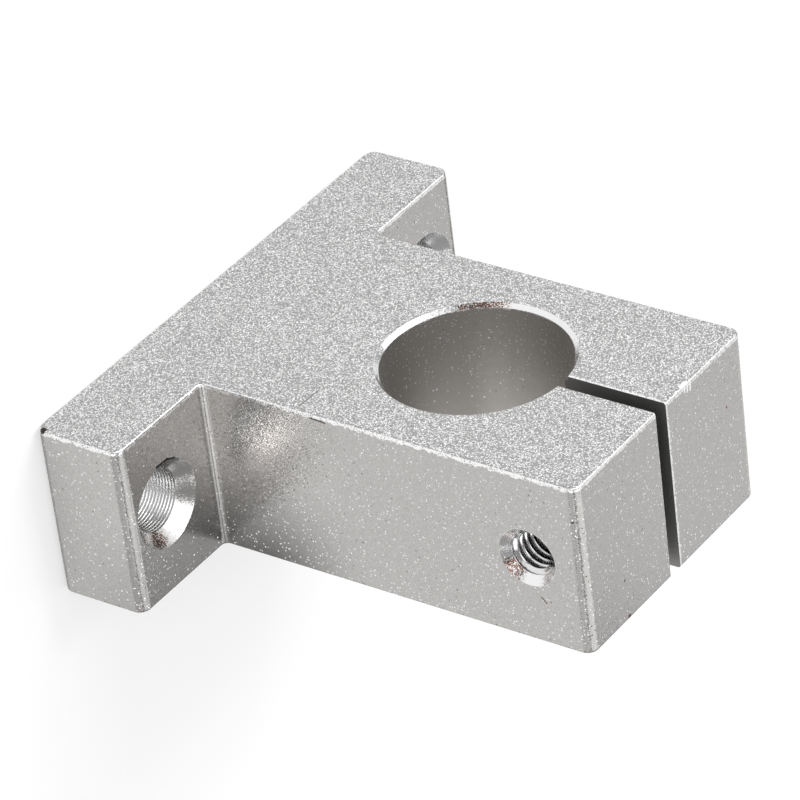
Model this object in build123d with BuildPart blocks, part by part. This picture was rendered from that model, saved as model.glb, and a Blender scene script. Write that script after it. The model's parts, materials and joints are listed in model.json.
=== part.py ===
from build123d import *
from math import radians, tan
import os

# A clamping shaft support block. An extruded T profile is sawn to length and stands on its foot.
# The round shaft runs along Y through the leg, and the slit above it is closed by one cap screw.
# The origin is the middle of the foot's underside: X runs across the foot, Z up the leg. Millimetres.

# The shaft and the room round it
shaft_diameter = 16.0
shaft_height = 27.0            # from the foot's underside up to the shaft's axis
shaft_clearance = 0.02         # between a shaft of nominal size and the open bore, on the diameter
bore_chamfer = 0.35
leg_wall = 4.6                 # beside the shaft, on each side
jaw_height = 9.5               # above the shaft, where the clamp screw crosses

# The extrusion
block_length = 16.0            # sawn off the bar, along the shaft
foot_length = 11.4             # from the leg's side out to the end of the foot
foot_thickness = 8.4
corner_radius = 1.0            # outer corners of the bar
root_radius = 0.5              # inner corners, between the leg and the foot
edge_break = 0.25              # the edges round the two sawn faces, after blasting

# The slit that lets the two jaws close
slit_width = 1.5

# The two holes that the foot is bolted down through
foot_hole_diameter = 5.5
foot_hole_inset = 5.0          # from the end of the foot to the hole's axis
foot_countersink_diameter = 7.75

# The clamp screw, a socket head cap screw, and its stepped hole
clamp_rise = 4.2               # from the top of the shaft up to the screw's axis
thread_diameter = 4.0
thread_clearance = 0.05        # between the screw and the tapped wall, on the radius
tapped_mouth_diameter = 5.3
passing_clearance = 0.5        # between the screw's shank and the hole in the far jaw, on the diameter
head_diameter = 7.0
head_height = 4.0
head_clearance = 0.5           # between the screw's head and its counterbore, on the diameter
head_recess = 0.2              # how far the head lies below the jaw's side
head_edge_chamfer = 0.4
screw_length = 16.0            # under the head
screw_tip_chamfer = 0.4
hex_key_size = 3.0             # across the socket's flats
hex_depth = 2.0
hex_bottom_angle = 120         # of the cone that the socket ends in

countersink_angle = 90
bore_diameter = shaft_diameter + shaft_clearance
shaft_top = shaft_height + shaft_diameter / 2
leg_width = shaft_diameter + 2 * leg_wall
block_height = shaft_top + jaw_height
base_width = leg_width + 2 * foot_length
foot_hole_spacing = base_width - 2 * foot_hole_inset
clamp_height = shaft_top + clamp_rise
counterbore_depth = head_height + head_recess
hex_cone_height = hex_key_size / 2 / tan(radians(hex_bottom_angle / 2))

shaft_entry = Plane(origin=(0, -block_length / 2, shaft_height), x_dir=(1, 0, 0), z_dir=(0, -1, 0))
head_side = Plane(origin=(-leg_width / 2, 0, clamp_height), x_dir=(0, -1, 0), z_dir=(-1, 0, 0))
tapped_side = Plane(origin=(leg_width / 2, 0, clamp_height), x_dir=(0, 1, 0), z_dir=(1, 0, 0))
screw_seat = head_side.offset(-counterbore_depth)


with BuildPart() as support_block:
    # The bar: the foot and the leg in one profile, with the rounded corners that the die gives it
    with BuildSketch(Plane.XZ):
        Rectangle(base_width, foot_thickness, align=(Align.CENTER, Align.MIN))
        Rectangle(leg_width, block_height, align=(Align.CENTER, Align.MIN))
        roots = vertices().group_by(Axis.Y)[1].sort_by(Axis.X)[1:-1]
        fillet(roots, radius=root_radius)
        foot_corners = vertices().group_by(Axis.X)[0] + vertices().group_by(Axis.X)[-1]
        leg_corners = vertices().group_by(Axis.Y)[-1]
        fillet(foot_corners + leg_corners, radius=corner_radius)
    extrude(amount=block_length / 2, both=True)

    # Sawing leaves sharp edges, which blasting rounds over
    sawn_faces = faces().filter_by(Axis.Y)
    fillet(sawn_faces.edges(), radius=edge_break)

    # The shaft's bore, chamfered at both mouths
    with Locations(shaft_entry):
        Hole(radius=bore_diameter / 2, depth=block_length)
    bore_wall = faces(Select.LAST).filter_by(GeomType.CYLINDER)
    chamfer(bore_wall.edges().filter_by(GeomType.CIRCLE), length=bore_chamfer)

    # The slit, from the bore up through the top of the leg
    with BuildSketch(Plane.XZ):
        with Locations((0, shaft_height)):
            Rectangle(slit_width, block_height - shaft_height, align=(Align.CENTER, Align.MIN))
    extrude(amount=block_length / 2, both=True, mode=Mode.SUBTRACT)

    # The clamp screw's hole: a counterbore and free passage in one jaw, a tapped hole in the other
    with Locations(head_side):
        CounterBoreHole(
            radius=(thread_diameter + passing_clearance) / 2,
            counter_bore_radius=(head_diameter + head_clearance) / 2,
            counter_bore_depth=counterbore_depth,
            depth=leg_width / 2,
        )
    with Locations(tapped_side):
        CounterSinkHole(
            radius=thread_diameter / 2,
            counter_sink_radius=tapped_mouth_diameter / 2,
            counter_sink_angle=countersink_angle,
            depth=leg_width / 2,
        )

    # The holes in the foot, countersunk from above
    with Locations(Plane.XY.offset(foot_thickness)):
        with GridLocations(foot_hole_spacing, block_length, 2, 1):
            CounterSinkHole(
                radius=foot_hole_diameter / 2,
                counter_sink_radius=foot_countersink_diameter / 2,
                counter_sink_angle=countersink_angle,
                depth=foot_thickness,
            )


with BuildPart() as clamp_screw:
    # The shank, from the seat under the head to the tip in the tapped jaw
    with BuildSketch(screw_seat):
        Circle(thread_diameter / 2 - thread_clearance)
    extrude(amount=-screw_length)
    tip = faces().sort_by(Axis.X)[-1]
    chamfer(tip.edges(), length=screw_tip_chamfer)

    # The cylindrical head with its chamfered rim
    with BuildSketch(screw_seat):
        Circle(head_diameter / 2)
    extrude(amount=head_height)
    crown = faces().sort_by(Axis.X)[0]
    chamfer(crown.edges(), length=head_edge_chamfer)

    # The hexagon socket for the key, down to the cone that its drill left
    with BuildSketch(screw_seat.offset(head_height)):
        RegularPolygon(radius=hex_key_size / 2, side_count=6, major_radius=False)
    extrude(amount=-hex_depth, mode=Mode.SUBTRACT)
    with Locations(screw_seat.offset(head_height - hex_depth)):
        Cone(
            bottom_radius=0,
            top_radius=hex_key_size / 2,
            height=hex_cone_height,
            align=(Align.CENTER, Align.CENTER, Align.MAX),
            mode=Mode.SUBTRACT,
        )


os.makedirs("parts", exist_ok=True)
support_block.part.label = "support_block"
export_step(support_block.part, "parts/support_block.step")
clamp_screw.part.label = "clamp_screw"
export_step(clamp_screw.part, "parts/clamp_screw.step")
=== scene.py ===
import functools
import json
import math

import bpy
from mathutils import Matrix, Vector


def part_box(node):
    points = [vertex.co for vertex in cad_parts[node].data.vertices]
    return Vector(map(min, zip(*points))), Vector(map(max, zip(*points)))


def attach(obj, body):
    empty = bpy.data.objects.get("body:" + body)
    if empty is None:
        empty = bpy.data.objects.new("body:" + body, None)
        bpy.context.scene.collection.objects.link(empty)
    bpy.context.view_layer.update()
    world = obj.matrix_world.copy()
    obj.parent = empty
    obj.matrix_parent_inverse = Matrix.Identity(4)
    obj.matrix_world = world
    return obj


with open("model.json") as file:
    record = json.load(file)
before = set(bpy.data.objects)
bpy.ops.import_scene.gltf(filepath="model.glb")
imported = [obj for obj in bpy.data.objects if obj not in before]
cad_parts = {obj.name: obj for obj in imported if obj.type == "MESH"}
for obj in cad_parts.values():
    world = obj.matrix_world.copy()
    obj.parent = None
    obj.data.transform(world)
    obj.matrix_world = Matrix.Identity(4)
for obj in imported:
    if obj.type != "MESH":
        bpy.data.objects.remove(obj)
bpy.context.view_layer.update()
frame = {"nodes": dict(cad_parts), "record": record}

block = frame["nodes"]["support_block"]
screw = frame["nodes"]["clamp_screw"]
mounts = {mount["name"]: mount for mount in frame["record"]["mounts"]}

mm = 0.001
blockLow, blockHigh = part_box("support_block")
screwLow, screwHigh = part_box("clamp_screw")

# Sizes in millimetres, read off the frame, that the finishes have to line up with
sizes = {
    "halfLength": blockHigh.y / mm,
    "boreRadius": mounts["shaft_bore"]["dims"]["r_mm"],
    "boreHeight": mounts["shaft_bore"]["pos_m"][2] / mm,
    "footHoleX": mounts["foot_holes"]["dims"]["spacing_x_mm"] / 2,
    "clampHeight": (screwLow.z + screwHigh.z) / 2 / mm,
}
print("frame loaded", {name: round(size, 3) for name, size in sizes.items()})


def linear(hexColour):
    channels = [int(hexColour[i:i + 2], 16) / 255 for i in (1, 3, 5)]
    return [c / 12.92 if c <= 0.04045 else ((c + 0.055) / 1.055) ** 2.4 for c in channels] + [1.0]


def addNode(tree, kind, inputs=None, **settings):
    node = tree.nodes.new(kind)
    for name, value in settings.items():
        setattr(node, name, value)
    for key, value in (inputs or {}).items():
        socket = node.inputs[key] if isinstance(key, int) else next(
            s for s in node.inputs if s.enabled and s.name == key)
        if isinstance(value, bpy.types.Node):          # a node stands for its first output in use
            value = next(s for s in value.outputs if s.enabled)
        if isinstance(value, bpy.types.NodeSocket):
            tree.links.new(value, socket)
        else:
            socket.default_value = value
    return node


def newMaterial(name):
    material = bpy.data.materials.new(name)
    material.use_nodes = True
    material.node_tree.nodes.clear()
    return material, functools.partial(addNode, material.node_tree)


def setStops(ramp, stops):
    ramp.elements.remove(ramp.elements[1])
    for i, (position, tone) in enumerate(stops):
        stop = ramp.elements[0] if i == 0 else ramp.elements.new(position)
        stop.position = position
        stop.color = tone if isinstance(tone, list) else (tone, tone, tone, 1)


# The block is extruded aluminium, sawn to length, bead-blasted and clear-anodised: a pale grey that stays
# the same from afar and breaks up close into grains. The two sawn ends are coarse and sparkle, the
# extruded sides are satin with many bright dots. Beads round the edges; a white line along the front end's
# edges and the slit is a painted highlight.
# Beads of about 0.1 mm leave dimples a little smaller than themselves, and they are drawn at that size.
blasted = {
    "sideDull": "#afadab",
    "sidePale": "#c2c0be",
    # a sawn grain's tone by its chance
    "sawnTones": [(0.0, "#949494"), (0.72, "#b6b6b6"), (0.83, "#ffffff"), (1.0, "#ffffff")],
    "edgeHighlightColour": "#f4f4f4",
    "grain": 0.084,             # mm across a dimple
    "sideLean": 0.16,           # how far a dimple tips out of the surface
    "sawnLean": 0.2,
    "sideRoughness": 0.2,
    "sawnRoughness": 0.42,
    "sawnFrom": 0.62,           # how squarely the sawn finish has to face along the shaft to begin
    "sawnTo": 0.77,             # and to be whole
    "roundedBelow": 0.985,      # a side less square than this is a rounded corner
    "endLimit": 0.4,            # unless it faces along the shaft more than this
    "edgeBand": 0.39,           # mm of y that the painted white highlight on the edges takes on average
    "edgeFray": 1.1,            # mm by which its limit would wander over a whole swing of the noise
    "edgeShare": 0.86,          # share of the grains in it that are white
    "frayNoise": {"Scale": 1.6, "Detail": 5.0, "Roughness": 0.75},
    # the painted highlight along the slit, in mm: the middle of the band, its reach and fray, and the height
    # it starts at
    "slitHighlight": {"middle": -0.12, "reach": 0.88, "fray": 0.6, "from": 35.0},
    "boreEndPaintedShade": 0.79,       # painted shade: share of the paleness that the top and the bottom of the bore keep
    "boreEndFrom": 0.75,        # how squarely they face up or down where this begins
    # painted light and shade: paleness of the outer corners by how squarely they face the side, on the jaws
    # and on the foot
    "jawCornerPaintedShade": [(0.2, 1.0), (0.4, 0.94), (0.67, 0.91), (0.73, 1.0), (0.79, 0.82), (0.83, 0.56),
                  (0.88, 0.47), (0.945, 0.58), (0.975, 0.9), (1.0, 1.0)],
    "footCornerPaintedShade": [(0.18, 0.66), (0.35, 0.81), (0.52, 0.9), (0.62, 1.0), (0.68, 1.0), (0.73, 0.78),
                   (0.79, 0.5), (0.88, 0.45), (0.945, 0.66), (0.98, 0.82), (1.0, 1.0)],
    "jawFrom": 30.0,            # mm, the height that parts jaws and foot
    "rootPaintedShade": 0.76,          # painted shade: share of the paleness that the inside corners' roundings keep
}
# Small facets and pits on the blasted faces: the mean distance between places for one, the largest radius,
# both in mm, and the share of the places that hold a facet or a pit. In the bore it changes from the front to
# y = boreTo, as painted light: many white facets at the front, few deeper in. Pits crowd the back end's edges
# as painted shade. Each has its own tone and tips its own way, by footLean on the foot's top beside the leg.
specks = {
    "distance": 0.27,
    "radius": 0.082,
    "facets": {"everywhere": 0.42, "corners": 0.6, "boreFront": 0.9, "boreBack": 0.06, "boreTo": 2.0,
               "dull": "#d6d5d3", "bright": "#ffffff", "roughness": 0.32, "lean": 0.24, "footLean": 0.6},
    "pits": {"everywhere": 0.03, "corners": 0.18, "shadedBackEdge": 0.4, "dull": "#6a6663", "bright": "#9c9894",
             "roughness": 0.5, "lean": 0.3, "footLean": 0.3},
}
# The inside corner on the tapped side has painted light and shade: paler at the front, darker and duller
# towards the back. The corner's line, the reach of its rounding, from where to where this fades and changes,
# in mm, the painted paleness at the front and the back as a share of that elsewhere, on the leg and on the
# foot, how far a dimple tips on the foot, and the roughness that a full loss of paleness would add
insideCorner = {"x": 12.6, "z": 8.4, "rootReach": 1.5, "fadeFrom": 4.0, "fadeTo": 15.0,
                "fromY": -1.0, "toY": 8.0, "front": 1.15, "back": 0.28, "footFront": 0.98,
                "footBack": 0.8, "footLean": 0.06, "roughness": 0.3}
# Places that a cutter made: the plane it turned in, its centre and reach there, and how deep it went.
# Drill, countersink and tap left bare bright metal. The bore was blasted with the rest, but is duller.
# The saw that slit the clamp left a dull grey cut. The tapped wall behind the thread is near-black: painted
# shade.
bright = {"colour": "#ececec", "roughness": 0.2, "lean": 0.12}
cuts = {
    "bore": {"plane": (1, 0, 1), "centre": (0, 0, sizes["boreHeight"]), "radius": sizes["boreRadius"] + 0.03,
             "axis": "Y", "middle": 0, "half": 9, "colour": "#b0ada9", "roughness": 0.5, "lean": 0.1},
    "slit": {"plane": (1, 0, 0), "centre": (0, 0, 0), "radius": 0.77, "axis": "Z", "middle": 40, "half": 5.5,
             "colour": "#8e8d8c", "roughness": 0.55, "lean": 0.1},
    "footHole": {"plane": (1, 1, 0), "centre": (sizes["footHoleX"], 0, 0), "radius": 3.89, "axis": "Z",
                 "middle": 5.0, "half": 4.95} | bright,
    "boreRim": {"plane": (1, 0, 1), "centre": (0, 0, sizes["boreHeight"]),
                "radius": sizes["boreRadius"] + 0.36, "axis": "Y", "middle": sizes["halfLength"],
                "half": 0.34} | bright,
    "clampHole": {"plane": (0, 1, 1), "centre": (0, 0, sizes["clampHeight"]), "radius": 2.66, "axis": "X",
                  "middle": 7.0, "half": 6.2} | bright,
    # painted shade: the tapped wall behind the thread ridges is near-black
    "tapRootShade": {"plane": (0, 1, 1), "centre": (0, 0, sizes["clampHeight"]), "radius": 2.03, "axis": "X",
                "middle": 6.1, "half": 5.3, "colour": "#2c2826", "roughness": 0.3, "lean": 0.12},
    "counterbore": {"plane": (0, 1, 1), "centre": (0, 0, sizes["clampHeight"]), "radius": 3.76, "axis": "X",
                    "middle": -7.0, "half": 6.2} | bright,
}
drill = {
    "feed": 0.32,               # mm from one ring to the next
    "ringLean": 1.1,            # how far a ring's flank tips at most
    "ringWeakest": 0.6,         # share of that where the rings are faint
    "ringWobble": 1.2,          # radians by which a ring strays
    "wobbleNoise": {"Scale": 0.8, "Detail": 2.0},
    "wallLimit": 0.2,           # the hole's wall faces up less than this
}
noiseSpan = {"From Min": 0.3, "From Max": 0.7}      # where nearly all of a noise's values lie
# Marks left by handling, and painted shade and shadow on the foot hole's countersink: from where to where,
# how far they reach in mm, their colour, and the cut they are kept to, if any
marksAndPaintedShade = [
    {"from": (23.75, -7.9, 0.8), "to": (23.75, -7.9, 0.8), "radius": 0.32, "colour": "#3b3634"},
    {"from": (13.25, -7.95, 9.1), "to": (13.25, -7.95, 9.1), "radius": 0.3, "colour": "#3b3634"},
    {"from": (7.0, 7.7, 44.5), "to": (7.0, 7.7, 44.5), "radius": 0.2, "colour": "#5b4036"},
    {"from": (7.2, 4.1, 44.5), "to": (7.2, 4.1, 44.5), "radius": 0.12, "colour": "#4a4440"},
    {"from": (12.5, -4.7, 43.9), "to": (12.5, -4.7, 43.9), "radius": 0.13, "colour": "#4a4440"},
    {"from": (-9.4, -2.4, 44.5), "to": (-9.4, -2.4, 44.5), "radius": 0.11, "colour": "#7a3f3a"},
    {"from": (12.6, 3.53, 40.19), "to": (12.6, 3.98, 40.62), "radius": 0.055, "colour": "#5c4a40"},
    {"from": (-3.3, -8.0, 44.33), "to": (-4.0, -8.0, 44.27), "radius": 0.14, "colour": "#ffffff"},
    {"from": (-3.65, -7.95, 44.5), "to": (-3.57, -7.4, 44.5), "radius": 0.1, "colour": "#ffffff"},
    {"from": (-4.08, -7.95, 44.5), "to": (-4.0, -7.2, 44.5), "radius": 0.1, "colour": "#ffffff"},
    {"from": (-4.52, -7.95, 44.5), "to": (-4.4, -7.1, 44.5), "radius": 0.1, "colour": "#ffffff"},
    # painted shade: grey patches on the countersink cone's top
    {"from": (17.4, -3.0, 7.9), "to": (16.2, -1.9, 7.9), "radius": 1.5, "colour": "#a09e9c",
     "on": "footHole"},
    {"from": (16.2, -1.8, 7.9), "to": (15.7, 0.9, 7.85), "radius": 1.05, "colour": "#cccac8",
     "on": "footHole"},
    # painted shadow: a black crescent along the countersink's rim
    {"from": (17.3, -3.45, 8.38), "to": (18.3, -3.9, 8.4), "radius": 0.14, "colour": "#1e1c1b"},
    {"from": (18.3, -3.9, 8.4), "to": (19.6, -3.95, 8.4), "radius": 0.11, "colour": "#1e1c1b"},
    {"from": (11.9, -8.0, 17.83), "to": (9.5, -8.0, 17.98), "radius": 0.08, "colour": "#8e8c8a"},
    {"from": (12.6, -7.6, 19.2), "to": (12.6, -7.52, 20.7), "radius": 0.07, "colour": "#55504d"},
]
# Cutting oil that dried in specks where the tools came out
stain = {"brown": "#a67e6e", "black": "#6a5f5a", "share": 0.68}
stains = [
    {"place": (20.1, 3.0, 7.9), "radius": 0.85, "on": "footHole"},
    {"place": (12.3, 1.75, 37.45), "radius": 0.95, "on": "clampHole"},
    {"place": (-6.9, -7.85, 22.9), "radius": 1.9, "on": "boreRim"},
]
crumbleNoise = {"Scale": 6.0, "Detail": 2.0}        # frays the borders of marks, painted shade and stains


def addCutMask(add, place, cut):
    flat = add("ShaderNodeVectorMath", {0: place, 1: cut["plane"]}, operation="MULTIPLY")
    distance = add("ShaderNodeVectorMath", {0: flat, 1: cut["centre"]}, operation="DISTANCE")
    inReach = add("ShaderNodeMath", {0: distance, 1: cut["radius"]}, operation="LESS_THAN")
    depth = add("ShaderNodeSeparateXYZ", {0: place}).outputs[cut["axis"]]
    deep = add("ShaderNodeMath", {0: depth, 1: cut["middle"], 2: cut["half"]}, operation="COMPARE")
    return add("ShaderNodeMath", {0: inReach, 1: deep}, operation="MULTIPLY")


def addDrillRings(add, place, folded, onWall):
    fromHole = add("ShaderNodeVectorMath", {0: folded, 1: (sizes["footHoleX"], 0, 0)}, operation="SUBTRACT")
    fromHole = add("ShaderNodeSeparateXYZ", {0: fromHole})
    turn = add("ShaderNodeMath", {0: fromHole.outputs["Y"], 1: fromHole.outputs["X"]}, operation="ARCTAN2")
    wobble = add("ShaderNodeTexNoise", {"Vector": place} | drill["wobbleNoise"])
    phase = add("ShaderNodeMath", {0: wobble, 1: drill["ringWobble"], 2: turn}, operation="MULTIPLY_ADD")
    turnsPerMm = 2 * math.pi / drill["feed"]
    depth = add("ShaderNodeSeparateXYZ", {0: place}).outputs["Z"]
    phase = add("ShaderNodeMath", {0: depth, 1: turnsPerMm, 2: phase}, operation="MULTIPLY_ADD")
    ring = add("ShaderNodeMath", {0: phase}, operation="SINE")
    strength = add("ShaderNodeMapRange", {"Value": wobble, "To Min": drill["ringWeakest"] * drill["ringLean"],
                                          "To Max": drill["ringLean"]} | noiseSpan)
    ring = add("ShaderNodeMath", {0: ring, 1: strength}, operation="MULTIPLY")
    ring = add("ShaderNodeMath", {0: ring, 1: onWall}, operation="MULTIPLY")
    return add("ShaderNodeCombineXYZ", {"Z": ring})


def makeBlastedAluminium():
    material, add = newMaterial("bead-blasted anodised aluminium")
    coordinates = add("ShaderNodeTexCoord")
    place = add("ShaderNodeVectorMath", {0: coordinates.outputs["Object"], "Scale": 1 / mm},
                operation="SCALE")
    folded = add("ShaderNodeVectorMath", {0: place}, operation="ABSOLUTE")  # both halves share a finish
    along = add("ShaderNodeSeparateXYZ", {0: place}).outputs
    facing = add("ShaderNodeVectorMath", {0: coordinates.outputs["Normal"]}, operation="ABSOLUTE")
    facing = add("ShaderNodeSeparateXYZ", {0: facing}).outputs

    # where each finish is; the clamp's two sides differ, all else is the same on both
    sawn = add("ShaderNodeMapRange", {"Value": facing["Y"], "From Min": blasted["sawnFrom"],
                                      "From Max": blasted["sawnTo"]})
    masks = {name: addCutMask(add, place if cut["axis"] == "X" else folded, cut)
             for name, cut in cuts.items()}
    squarest = add("ShaderNodeMath", {0: facing["X"], 1: facing["Z"]}, operation="MAXIMUM")
    rounded = add("ShaderNodeMath", {0: squarest, 1: blasted["roundedBelow"]}, operation="LESS_THAN")
    fromSawn = add("ShaderNodeMath", {0: facing["Y"], 1: blasted["endLimit"]}, operation="LESS_THAN")
    corners = add("ShaderNodeMath", {0: rounded, 1: fromSawn}, operation="MULTIPLY")
    corners = add("ShaderNodeMath", {0: corners, 1: masks["bore"]}, operation="SUBTRACT", use_clamp=True)
    fromCorner = add("ShaderNodeVectorMath", {0: place, 1: (1, 0, 1)}, operation="MULTIPLY")
    cornerLine = (insideCorner["x"], 0, insideCorner["z"])
    fromCorner = add("ShaderNodeVectorMath", {0: fromCorner, 1: cornerLine}, operation="DISTANCE")
    outer = add("ShaderNodeMath", {0: fromCorner, 1: insideCorner["rootReach"]}, operation="GREATER_THAN")
    outer = add("ShaderNodeMath", {0: outer, 1: corners}, operation="MULTIPLY")
    shadedBackEdge = add("ShaderNodeMath", {0: along["Y"], 1: sizes["halfLength"] - blasted["edgeBand"]},
                   operation="GREATER_THAN")
    # painted highlight: a white line on the sides' edges at the front end, and along the slit on the jaws
    edgeStart = sizes["halfLength"] - blasted["edgeBand"] - blasted["edgeFray"] / 2
    fray = add("ShaderNodeTexNoise", {"Vector": place} | blasted["frayNoise"])
    reached = add("ShaderNodeMath", {0: fray, 1: blasted["edgeFray"], 2: edgeStart}, operation="MULTIPLY_ADD")
    towardsFront = add("ShaderNodeMath", {0: along["Y"], 1: -1.0}, operation="MULTIPLY")
    nearEnd = add("ShaderNodeMath", {0: towardsFront, 1: reached}, operation="GREATER_THAN")
    paintedEdgeHighlight = add("ShaderNodeMath", {0: nearEnd, 1: sawn}, operation="SUBTRACT", use_clamp=True)
    slitHighlight = blasted["slitHighlight"]
    slitReach = slitHighlight["reach"] - slitHighlight["fray"] / 2
    slitReach = add("ShaderNodeMath", {0: fray, 1: slitHighlight["fray"], 2: slitReach}, operation="MULTIPLY_ADD")
    byCut = add("ShaderNodeMath", {0: along["X"], 1: slitHighlight["middle"], 2: slitReach}, operation="COMPARE")
    onJaws = add("ShaderNodeMath", {0: along["Z"], 1: slitHighlight["from"]}, operation="GREATER_THAN")
    byCut = add("ShaderNodeMath", {0: byCut, 1: onJaws}, operation="MULTIPLY")
    byCut = add("ShaderNodeMath", {0: byCut, 1: masks["bore"]}, operation="SUBTRACT", use_clamp=True)
    paintedEdgeHighlight = add("ShaderNodeMath", {0: paintedEdgeHighlight, 1: byCut}, operation="MAXIMUM")

    # tones and dimples: each one has its own tone and leans its own way
    grains = add("ShaderNodeTexVoronoi", {"Vector": place, "Scale": 1 / blasted["grain"]}, feature="F1")
    grainChance = add("ShaderNodeSeparateColor", {"Color": grains.outputs["Color"]}).outputs
    highlightGrain = add("ShaderNodeMath", {0: grainChance["Red"], 1: blasted["edgeShare"]},
                     operation="LESS_THAN")
    paintedEdgeHighlight = add("ShaderNodeMath", {0: paintedEdgeHighlight, 1: highlightGrain}, operation="MULTIPLY")
    sides = add("ShaderNodeMix", {"Factor": grainChance["Green"], "A": linear(blasted["sideDull"]),
                                  "B": linear(blasted["sidePale"])}, data_type="RGBA")
    sawnFace = add("ShaderNodeValToRGB", {"Fac": grainChance["Green"]})
    setStops(sawnFace.color_ramp, [(share, linear(tone)) for share, tone in blasted["sawnTones"]])
    colour = add("ShaderNodeMix", {"Factor": sawn, "A": sides, "B": sawnFace}, data_type="RGBA")
    # painted light and shade on the rounded corners: bands of paleness by how squarely they face the side
    jawPaintedShade = add("ShaderNodeValToRGB", {"Fac": facing["X"]})
    setStops(jawPaintedShade.color_ramp, blasted["jawCornerPaintedShade"])
    footPaintedShade = add("ShaderNodeValToRGB", {"Fac": facing["X"]})
    setStops(footPaintedShade.color_ramp, blasted["footCornerPaintedShade"])
    onJaw = add("ShaderNodeMath", {0: along["Z"], 1: blasted["jawFrom"]}, operation="GREATER_THAN")
    outerPaintedShade = add("ShaderNodeMix", {"Factor": onJaw, "A": footPaintedShade, "B": jawPaintedShade})
    # painted shade in the inside corners' roundings
    root = add("ShaderNodeMath", {0: corners, 1: outer}, operation="SUBTRACT", use_clamp=True)
    paintedShade = add("ShaderNodeMapRange", {"Value": root, "To Min": 1.0, "To Max": blasted["rootPaintedShade"]})
    paintedShade = add("ShaderNodeMix", {"Factor": outer, "A": paintedShade, "B": outerPaintedShade})
    colour = add("ShaderNodeVectorMath", {0: colour, "Scale": paintedShade}, operation="SCALE")
    roughness = add("ShaderNodeMix", {"Factor": sawn, "A": blasted["sideRoughness"],
                                      "B": blasted["sawnRoughness"]})
    leanBy = add("ShaderNodeMix", {"Factor": sawn, "A": blasted["sideLean"], "B": blasted["sawnLean"]})
    byCorner = add("ShaderNodeMapRange", {"Value": fromCorner, "From Min": insideCorner["fadeFrom"],
                                          "From Max": insideCorner["fadeTo"], "To Min": 1.0, "To Max": 0.0})
    onFoot = add("ShaderNodeMath", {0: facing["Z"], 1: byCorner}, operation="MULTIPLY")
    leanBy = add("ShaderNodeMix", {"Factor": onFoot, "A": leanBy, "B": insideCorner["footLean"]})

    bore = cuts["bore"]
    # painted shade: the bore darker at its top and bottom
    borePaintedShade = add("ShaderNodeMapRange", {"Value": facing["Z"], "From Min": blasted["boreEndFrom"],
                                           "To Min": 1.0, "To Max": blasted["boreEndPaintedShade"]})
    boreColour = add("ShaderNodeVectorMath", {0: linear(bore["colour"])[:3], "Scale": borePaintedShade},
                     operation="SCALE")
    colour = add("ShaderNodeMix", {"Factor": masks["bore"], "A": colour, "B": boreColour}, data_type="RGBA")
    roughness = add("ShaderNodeMix", {"Factor": masks["bore"], "A": roughness, "B": bore["roughness"]})
    for name, cut in cuts.items():
        leanBy = add("ShaderNodeMix", {"Factor": masks[name], "A": leanBy, "B": cut["lean"]})
    tip = add("ShaderNodeVectorMath", {0: grains.outputs["Color"], 1: (0.5, 0.5, 0.5)}, operation="SUBTRACT")
    lean = add("ShaderNodeVectorMath", {0: tip, "Scale": leanBy}, operation="SCALE")

    cells = add("ShaderNodeTexVoronoi", {"Vector": place, "Scale": 1 / specks["distance"]},
                feature="F1").outputs
    chance = add("ShaderNodeSeparateColor", {"Color": cells["Color"]}).outputs
    half = specks["radius"] / specks["distance"] / 2
    reach = add("ShaderNodeMath", {0: chance["Red"], 1: half, 2: half}, operation="MULTIPLY_ADD")
    inReach = add("ShaderNodeMath", {0: cells["Distance"], 1: reach}, operation="LESS_THAN")
    tip = add("ShaderNodeVectorMath", {0: cells["Color"], 1: (0.5, 0.5, 0.5)}, operation="SUBTRACT")
    facets = specks["facets"]
    pits = specks["pits"]
    share = add("ShaderNodeMix", {"Factor": corners, "A": facets["everywhere"], "B": facets["corners"]})
    # painted light: white facets thick at the bore's front and thinning out deeper in
    borePaintedGlints = add("ShaderNodeMapRange", {"Value": along["Y"], "From Min": -sizes["halfLength"],
                                        "From Max": facets["boreTo"], "To Min": facets["boreFront"],
                                        "To Max": facets["boreBack"]})
    share = add("ShaderNodeMix", {"Factor": masks["bore"], "A": share, "B": borePaintedGlints})
    isFacet = add("ShaderNodeMath", {0: chance["Green"], 1: share}, operation="LESS_THAN")
    share = add("ShaderNodeMix", {"Factor": corners, "A": pits["everywhere"], "B": pits["corners"]})
    # painted shade: dark pits crowd the back end's edges
    share = add("ShaderNodeMix", {"Factor": shadedBackEdge, "A": share, "B": pits["shadedBackEdge"]})
    share = add("ShaderNodeMath", {0: 1.0, 1: share}, operation="SUBTRACT")
    isPit = add("ShaderNodeMath", {0: chance["Green"], 1: share}, operation="GREATER_THAN")

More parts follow.
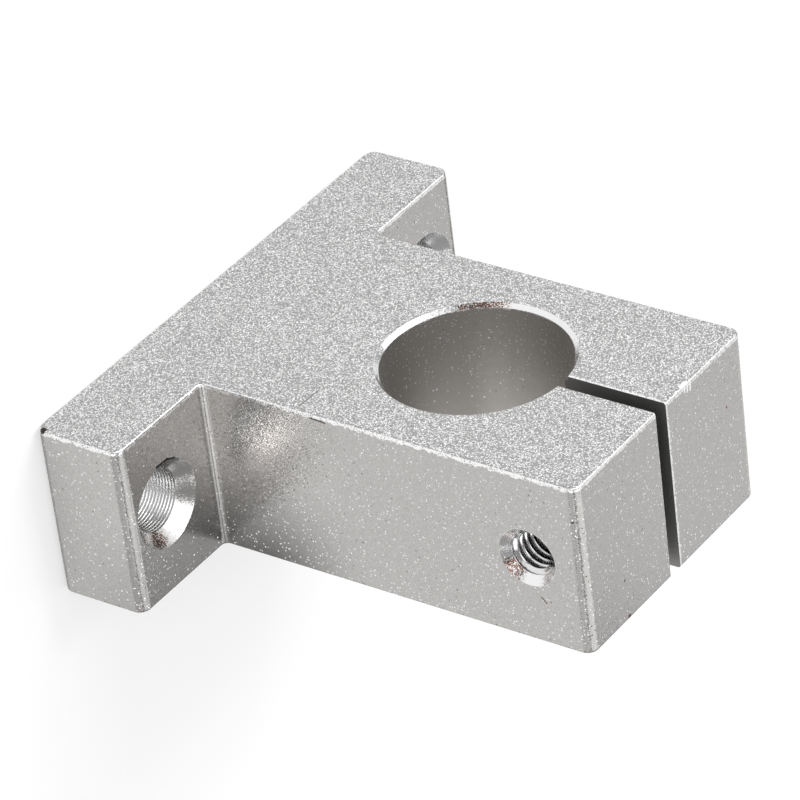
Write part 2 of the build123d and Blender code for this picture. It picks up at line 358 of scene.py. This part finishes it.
    # painted light and shade in the inside corner: paler at the front, darker and rougher towards the back
    paintedPalenessHere = add("ShaderNodeMapRange", {"Value": along["Y"], "From Min": insideCorner["fromY"],
                                          "From Max": insideCorner["toY"], "To Min": insideCorner["front"],
                                          "To Max": insideCorner["back"]})
    paintedPalenessOnFoot = add("ShaderNodeMapRange", {
        "Value": along["Y"], "From Min": insideCorner["fromY"], "From Max": insideCorner["toY"],
        "To Min": insideCorner["footFront"], "To Max": insideCorner["footBack"]})
    paintedPalenessHere = add("ShaderNodeMix", {"Factor": facing["Z"], "A": paintedPalenessHere, "B": paintedPalenessOnFoot})
    kept = add("ShaderNodeMapRange", {
        "Value": fromCorner, "From Min": insideCorner["fadeFrom"], "From Max": insideCorner["fadeTo"],
        "To Min": paintedPalenessHere, "To Max": 1.0}, interpolation_type="SMOOTHSTEP")
    kept = add("ShaderNodeMix", {"Factor": sawn, "A": kept, "B": 1.0})
    kept = add("ShaderNodeMix", {"Factor": masks["bore"], "A": kept, "B": 1.0})
    colour = add("ShaderNodeVectorMath", {0: colour, "Scale": kept}, operation="SCALE")
    paintedDarkening = add("ShaderNodeMath", {0: 1.0, 1: kept}, operation="SUBTRACT", use_clamp=True)
    roughness = add("ShaderNodeMath", {0: paintedDarkening, 1: insideCorner["roughness"], 2: roughness},
                    operation="MULTIPLY_ADD")

    # the facets and pits, then the painted white highlight on the edges
    for kind, chosen in ((facets, isFacet), (pits, isPit)):
        mask = add("ShaderNodeMath", {0: inReach, 1: chosen}, operation="MULTIPLY")
        tone = add("ShaderNodeMix", {"Factor": chance["Blue"], "A": linear(kind["dull"]),
                                     "B": linear(kind["bright"])}, data_type="RGBA")
        colour = add("ShaderNodeMix", {"Factor": mask, "A": colour, "B": tone}, data_type="RGBA")
        roughness = add("ShaderNodeMix", {"Factor": mask, "A": roughness, "B": kind["roughness"]})
        tipBy = add("ShaderNodeMix", {"Factor": onFoot, "A": kind["lean"], "B": kind["footLean"]})
        tipped = add("ShaderNodeVectorMath", {0: tip, "Scale": tipBy}, operation="SCALE")
        lean = add("ShaderNodeMix", {"Factor": mask, "A": lean, "B": tipped}, data_type="VECTOR")
    colour = add("ShaderNodeMix", {"Factor": paintedEdgeHighlight, "A": colour, "B": linear(blasted["edgeHighlightColour"])},
                 data_type="RGBA")

    # what the cutters left, and the rings that the drill turned into the foot's holes
    for name, cut in cuts.items():
        if name != "bore":
            roughness = add("ShaderNodeMix", {"Factor": masks[name], "A": roughness, "B": cut["roughness"]})
            colour = add("ShaderNodeMix", {"Factor": masks[name], "A": colour, "B": linear(cut["colour"])},
                         data_type="RGBA")
    onWall = add("ShaderNodeMath", {0: facing["Z"], 1: drill["wallLimit"]}, operation="LESS_THAN")
    onWall = add("ShaderNodeMath", {0: onWall, 1: masks["footHole"]}, operation="MULTIPLY")
    rings = addDrillRings(add, place, folded, onWall)
    lean = add("ShaderNodeVectorMath", {0: lean, 1: rings}, operation="ADD")

    # stains, marks and painted shade, with crumbled borders
    crumble = add("ShaderNodeTexNoise", {"Vector": place} | crumbleNoise)
    oil = add("ShaderNodeMix", {"Factor": grainChance["Blue"], "A": linear(stain["black"]),
                                "B": linear(stain["brown"])}, data_type="RGBA")
    taken = add("ShaderNodeMath", {0: grainChance["Red"], 1: stain["share"]}, operation="LESS_THAN")
    for spot in stains:
        distance = add("ShaderNodeVectorMath", {0: place, 1: spot["place"]}, operation="DISTANCE")
        ragged = add("ShaderNodeMath", {0: crumble, 1: spot["radius"] * 2}, operation="MULTIPLY")
        inStain = add("ShaderNodeMath", {0: distance, 1: ragged}, operation="LESS_THAN")
        inStain = add("ShaderNodeMath", {0: inStain, 1: taken}, operation="MULTIPLY")
        inStain = add("ShaderNodeMath", {0: inStain, 1: masks[spot["on"]]}, operation="MULTIPLY")
        colour = add("ShaderNodeMix", {"Factor": inStain, "A": colour, "B": oil}, data_type="RGBA")
    for mark in marksAndPaintedShade:
        start = Vector(mark["from"])
        run = Vector(mark["to"]) - start
        offset = add("ShaderNodeVectorMath", {0: place, 1: start}, operation="SUBTRACT")
        if run.length > 0:
            share = add("ShaderNodeVectorMath", {0: offset, 1: run / run.length_squared},
                        operation="DOT_PRODUCT")
            share = add("ShaderNodeMath", {0: share, 1: 1.0}, operation="MULTIPLY", use_clamp=True)
            nearest = add("ShaderNodeVectorMath", {0: run, "Scale": share}, operation="SCALE")
            offset = add("ShaderNodeVectorMath", {0: offset, 1: nearest}, operation="SUBTRACT")
        distance = add("ShaderNodeVectorMath", {0: offset}, operation="LENGTH")
        ragged = add("ShaderNodeMath", {0: crumble, 1: mark["radius"] * 2}, operation="MULTIPLY")
        inMarkOrShade = add("ShaderNodeMath", {0: distance, 1: ragged}, operation="LESS_THAN")
        if "on" in mark:
            inMarkOrShade = add("ShaderNodeMath", {0: inMarkOrShade, 1: masks[mark["on"]]}, operation="MULTIPLY")
        colour = add("ShaderNodeMix", {"Factor": inMarkOrShade, "A": colour, "B": linear(mark["colour"])},
                     data_type="RGBA")

    geometry = add("ShaderNodeNewGeometry")
    normal = add("ShaderNodeVectorMath", {0: geometry.outputs["Normal"], 1: lean}, operation="ADD")
    normal = add("ShaderNodeVectorMath", {0: normal}, operation="NORMALIZE")
    surface = add("ShaderNodeBsdfPrincipled", {"Base Color": colour, "Metallic": 1.0, "Roughness": roughness,
                                               "Normal": normal})
    add("ShaderNodeOutputMaterial", {"Surface": surface})
    return material


# The thread was cut through the blasted skin, so it is bare: bright, with the gloss that a sharp tap leaves
tapped = {"colour": "#dcdcdc", "roughness": 0.14}


def makeCutAluminium():
    material, add = newMaterial("tapped bare aluminium")
    surface = add("ShaderNodeBsdfPrincipled", {"Base Color": linear(tapped["colour"]), "Metallic": 1.0,
                                               "Roughness": tapped["roughness"]})
    add("ShaderNodeOutputMaterial", {"Surface": surface})
    return material


# Black oxide on an alloy steel screw: nearly black with an oily gloss that changes from place to place
blackened = {
    "colour": "#38383a",
    "wornColour": "#6a6866",
    "roughnessFrom": 0.28,
    "roughnessTo": 0.5,
    "patchSize": 0.7,           # mm
    "wearFrom": 0.55,           # where in the noise the wear begins, and where it is whole
    "wearTo": 0.85,
}


def makeBlackOxide():
    material, add = newMaterial("black oxide steel")
    coordinates = add("ShaderNodeTexCoord")
    place = add("ShaderNodeVectorMath", {0: coordinates.outputs["Object"], "Scale": 1 / mm},
                operation="SCALE")
    patches = add("ShaderNodeTexNoise", {"Vector": place, "Scale": 1 / blackened["patchSize"], "Detail": 3.0})
    colour = add("ShaderNodeValToRGB", {"Fac": patches})
    colour.color_ramp.elements[0].position = blackened["wearFrom"]
    colour.color_ramp.elements[0].color = linear(blackened["colour"])
    colour.color_ramp.elements[1].position = blackened["wearTo"]
    colour.color_ramp.elements[1].color = linear(blackened["wornColour"])
    roughness = add("ShaderNodeMapRange", {"Value": patches, "To Min": blackened["roughnessFrom"],
                                           "To Max": blackened["roughnessTo"]} | noiseSpan)
    surface = add("ShaderNodeBsdfPrincipled", {"Base Color": colour, "Metallic": 1.0, "Roughness": roughness})
    add("ShaderNodeOutputMaterial", {"Surface": surface})
    return material


block.material_slots[0].material = makeBlastedAluminium()
screw.material_slots[0].material = makeBlackOxide()
print("block and screw finished")


# The thread in the clamp's far jaw: one ridge that winds along the tapped wall, cut away by the chamfer
thread = {
    "Pitch": 0.7 * mm,
    "Root Radius": 2.02 * mm,           # a little into the wall
    "Crest Radius": 1.62 * mm,
    "Root Width": 0.62 * mm,
    "Crest Width": 0.14 * mm,
    "Start": 7.85 * mm,                 # past the tip of the screw
    "End": 12.25 * mm,
    "Axis Height": sizes["clampHeight"] * mm,
    "Face": 12.6 * mm,
    "Mouth Radius": 2.65 * mm,
    "Mouth Gap": 0.006 * mm,            # keeps the cut ridge just inside the wall
    "Steps Per Turn": 80,
}


def makeThreadTree():
    tree = bpy.data.node_groups.new("clampThread", "GeometryNodeTree")
    tree.interface.new_socket("Geometry", in_out="OUTPUT", socket_type="NodeSocketGeometry")
    for name, value in thread.items():
        kind = "NodeSocketInt" if isinstance(value, int) else "NodeSocketFloat"
        tree.interface.new_socket(name, in_out="INPUT", socket_type=kind)
    tree.interface.new_socket("Material", in_out="INPUT", socket_type="NodeSocketMaterial")
    add = functools.partial(addNode, tree)
    given = add("NodeGroupInput").outputs
    length = add("ShaderNodeMath", {0: given["End"], 1: given["Start"]}, operation="SUBTRACT")
    turns = add("ShaderNodeMath", {0: length, 1: given["Pitch"]}, operation="DIVIDE")
    depth = add("ShaderNodeMath", {0: given["Root Radius"], 1: given["Crest Radius"]}, operation="SUBTRACT")
    middle = add("ShaderNodeMath", {0: given["Root Radius"], 1: given["Crest Radius"]}, operation="ADD")
    middle = add("ShaderNodeMath", {0: middle, 1: 0.5}, operation="MULTIPLY")
    helix = add("GeometryNodeCurveSpiral", {"Resolution": given["Steps Per Turn"], "Rotations": turns,
                                            "Start Radius": middle, "End Radius": middle, "Height": length,
                                            "Reverse": True})
    helix = add("GeometryNodeSetCurveNormal", {"Curve": helix}, mode="Z_UP")
    ridge = add("GeometryNodeCurvePrimitiveQuadrilateral", {
        "Height": depth, "Bottom Width": given["Root Width"], "Top Width": given["Crest Width"],
        "Offset": 0.0}, mode="TRAPEZOID")
    ridge = add("GeometryNodeTransform", {"Geometry": ridge, "Rotation": (0, 0, math.radians(90))})
    ridge = add("GeometryNodeSubdivideCurve", {"Curve": ridge, "Cuts": 3})
    body = add("GeometryNodeCurveToMesh", {"Curve": helix, "Profile Curve": ridge, "Fill Caps": True})

    # the chamfer at the mouth cuts the ridge back to its own cone
    place = add("GeometryNodeInputPosition")
    axes = add("ShaderNodeSeparateXYZ", {0: place})
    flat = add("ShaderNodeVectorMath", {0: place, 1: (1, 1, 0)}, operation="MULTIPLY")
    radius = add("ShaderNodeVectorMath", {0: flat}, operation="LENGTH")
    outward = add("ShaderNodeVectorMath", {0: flat}, operation="NORMALIZE")
    toFace = add("ShaderNodeMath", {0: given["Face"], 1: given["Start"]}, operation="SUBTRACT")
    toFace = add("ShaderNodeMath", {0: toFace, 1: axes.outputs["Z"]}, operation="SUBTRACT")
    cone = add("ShaderNodeMath", {0: given["Mouth Radius"], 1: toFace}, operation="SUBTRACT")
    cone = add("ShaderNodeMath", {0: cone, 1: given["Mouth Gap"]}, operation="ADD")
    kept = add("ShaderNodeMath", {0: radius, 1: cone}, operation="MAXIMUM")
    moved = add("ShaderNodeVectorMath", {0: outward, "Scale": kept}, operation="SCALE")
    height = add("ShaderNodeCombineXYZ", {"Z": axes.outputs["Z"]})
    moved = add("ShaderNodeVectorMath", {0: moved, 1: height}, operation="ADD")
    body = add("GeometryNodeSetPosition", {"Geometry": body, "Position": moved})

    # from upright to lying along the jaw's hole
    spot = add("ShaderNodeCombineXYZ", {"X": given["Start"], "Z": given["Axis Height"]})
    body = add("GeometryNodeTransform", {"Geometry": body, "Translation": spot,
                                         "Rotation": (0, math.radians(90), 0)})
    body = add("GeometryNodeSetShadeSmooth", {"Geometry": body})
    body = add("GeometryNodeRealizeInstances", {"Geometry": body})
    body = add("GeometryNodeSetMaterial", {"Geometry": body, "Material": given["Material"]})
    add("NodeGroupOutput", {"Geometry": body})
    return tree


def makePiece(name, tree, values):
    piece = bpy.data.objects.new(name, bpy.data.meshes.new(name))
    bpy.context.scene.collection.objects.link(piece)
    modifier = piece.modifiers.new(name, "NODES")
    modifier.node_group = tree
    for item in tree.interface.items_tree:
        if item.in_out == "INPUT":
            modifier[item.identifier] = values[item.name]
    bpy.context.view_layer.update()
    evaluated = piece.evaluated_get(bpy.context.evaluated_depsgraph_get())
    mesh = bpy.data.meshes.new_from_object(evaluated)
    piece.modifiers.remove(modifier)
    piece.data = mesh
    mesh.name = name
    return piece


clampThread = makePiece("clamp_thread", makeThreadTree(), thread | {"Material": makeCutAluminium()})
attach(clampThread, "root")
radii = [math.hypot(v.co.y, v.co.z - thread["Axis Height"]) / mm for v in clampThread.data.vertices]
print("clamp thread made,", len(clampThread.data.polygons), "faces, radius", round(min(radii), 3), "to",
      round(max(radii), 3))


# Plain floor, pale walls and soft lamps. Levels are radiance, where 1 is white.
studio = {
    "floorSize": 3.0,
    "floorColour": "#fcfcfc",
    "floorGlow": 0.55,          # share of the floor that is plain white to the camera and to metal
    "skyHeights": [(0.0, 1.0), (0.08, 1.0), (0.12, 0.32), (0.8, 0.32), (0.95, 0.5), (1.0, 0.5)],
}
# Each lamp faces its target in mm from a direction and a distance in m, and is so many m wide and high
lamps = {
    "frontTop": {"target": (0, 0, 20), "direction": (0.08, -0.5, 0.86), "distance": 0.6,
                 "across": (1, 0, 0), "size": (0.75, 0.6), "level": 1.0},
    "frontLeft": {"target": (0, 0, 20), "direction": (-0.62, -0.6, 0.5), "distance": 0.6,
                  "across": (1, -1, 0), "size": (0.4, 0.35), "level": 1.8},
    "frontRight": {"target": (18, 0, 10), "direction": (0.64, -0.5, 0.58), "distance": 0.6,
                   "across": (1, 1, 0), "size": (0.4, 0.4), "level": 1.0},
    "left": {"target": (0, 0, 40), "direction": (-0.66, 0.0, 0.74), "distance": 0.5,
             "across": (0, 1, 0), "size": (0.42, 0.3), "level": 0.5},
    "backTop": {"target": (18, 0, 26), "direction": (-0.04, 0.54, 0.83), "distance": 0.6,
                "across": (1, 0, 0), "size": (0.62, 0.28), "level": 1.1},
    "backRight": {"target": (0, 0, 24), "direction": (0.78, 0.53, 0.34), "distance": 1.0,
                  "across": (1, -1, 0), "size": (0.56, 0.56), "level": 1.4},
    "backLeft": {"target": (-11.0, -3.1, 25.9), "direction": (-0.658, 0.545, 0.519), "distance": 0.15,
                 "across": (-0.603, 0.027, -0.797), "size": (0.11, 0.055), "level": 0.58},
    "key": {"target": (19, 0, 8), "direction": (-0.24, -0.5, 0.84), "distance": 0.5,
            "across": (1, 0, 0), "size": (0.13, 0.13), "level": 9.5},
}


def makeFloor():
    half = studio["floorSize"] / 2
    corners = [(-half, -half, 0), (half, -half, 0), (half, half, 0), (-half, half, 0)]
    mesh = bpy.data.meshes.new("floor")
    mesh.from_pydata(corners, [], [(0, 1, 2, 3)])
    floor = bpy.data.objects.new("floor", mesh)
    bpy.context.scene.collection.objects.link(floor)
    material, add = newMaterial("pale paper floor")
    paper = add("ShaderNodeBsdfDiffuse", {"Color": linear(studio["floorColour"])})
    glow = add("ShaderNodeEmission", {"Color": (1, 1, 1, 1), "Strength": 1.0})
    path = add("ShaderNodeLightPath").outputs
    seen = add("ShaderNodeMath", {0: path["Is Camera Ray"], 1: path["Is Glossy Ray"]}, operation="MAXIMUM")
    seen = add("ShaderNodeMath", {0: seen, 1: path["Is Transmission Ray"]}, operation="MAXIMUM")
    share = add("ShaderNodeMath", {0: seen, 1: studio["floorGlow"]}, operation="MULTIPLY")
    surface = add("ShaderNodeMixShader", {0: share, 1: paper, 2: glow})
    add("ShaderNodeOutputMaterial", {"Surface": surface})
    mesh.materials.append(material)


def makeWalls():
    world = bpy.data.worlds.new("studio walls")
    bpy.context.scene.world = world
    world.use_nodes = True
    world.node_tree.nodes.clear()
    add = functools.partial(addNode, world.node_tree)
    direction = add("ShaderNodeTexCoord").outputs["Generated"]
    height = add("ShaderNodeSeparateXYZ", {0: direction}).outputs["Z"]
    tone = add("ShaderNodeValToRGB", {"Fac": height})
    setStops(tone.color_ramp, studio["skyHeights"])
    walls = add("ShaderNodeBackground", {"Color": tone, "Strength": 1.0})
    add("ShaderNodeOutputWorld", {"Surface": walls})


def makeLamp(name, lamp):
    width, height = lamp["size"]
    data = bpy.data.lights.new(name, "AREA")
    data.shape = "RECTANGLE"
    data.size = width
    data.size_y = height
    data.energy = lamp["level"] * math.pi * width * height
    away = Vector(lamp["direction"]).normalized()
    upward = away.cross(Vector(lamp["across"])).normalized()
    axes = Matrix((upward.cross(away), upward, away)).transposed()
    lampObject = bpy.data.objects.new(name, data)
    bpy.context.scene.collection.objects.link(lampObject)
    lampObject.matrix_world = Matrix.LocRotScale(
        Vector(lamp["target"]) * mm + away * lamp["distance"], axes.to_quaternion(), None)


makeFloor()
makeWalls()
for name, lamp in lamps.items():
    makeLamp(name, lamp)
print("studio set")


# The camera looks from the photograph's side, turned so that the block's +Z lies to the right
view = {
    "place": (261.695, -218.218, 225.018),          # mm
    "forward": (-0.6583, 0.54511, -0.51912),
    "up": (-0.50397, -0.83143, -0.23397),
    "focalPixels": 4820.7,                       # in a picture this wide
    "pictureWidth": 800,
    "sensor": 36.0,                              # mm
    "nearest": 0.01,                             # m
}


def makeCamera():
    data = bpy.data.cameras.new("camera")
    data.sensor_width = view["sensor"]
    data.lens = view["focalPixels"] * view["sensor"] / view["pictureWidth"]
    data.clip_start = view["nearest"]
    camera = bpy.data.objects.new("camera", data)
    bpy.context.scene.collection.objects.link(camera)
    back = -Vector(view["forward"]).normalized()
    right = Vector(view["up"]).cross(back).normalized()
    axes = Matrix((right, back.cross(right), back)).transposed()
    camera.matrix_world = Matrix.LocRotScale(Vector(view["place"]) * mm, axes.to_quaternion(), None)
    bpy.context.scene.camera = camera


makeCamera()
bpy.context.scene.view_settings.view_transform = "Standard"

print("done")
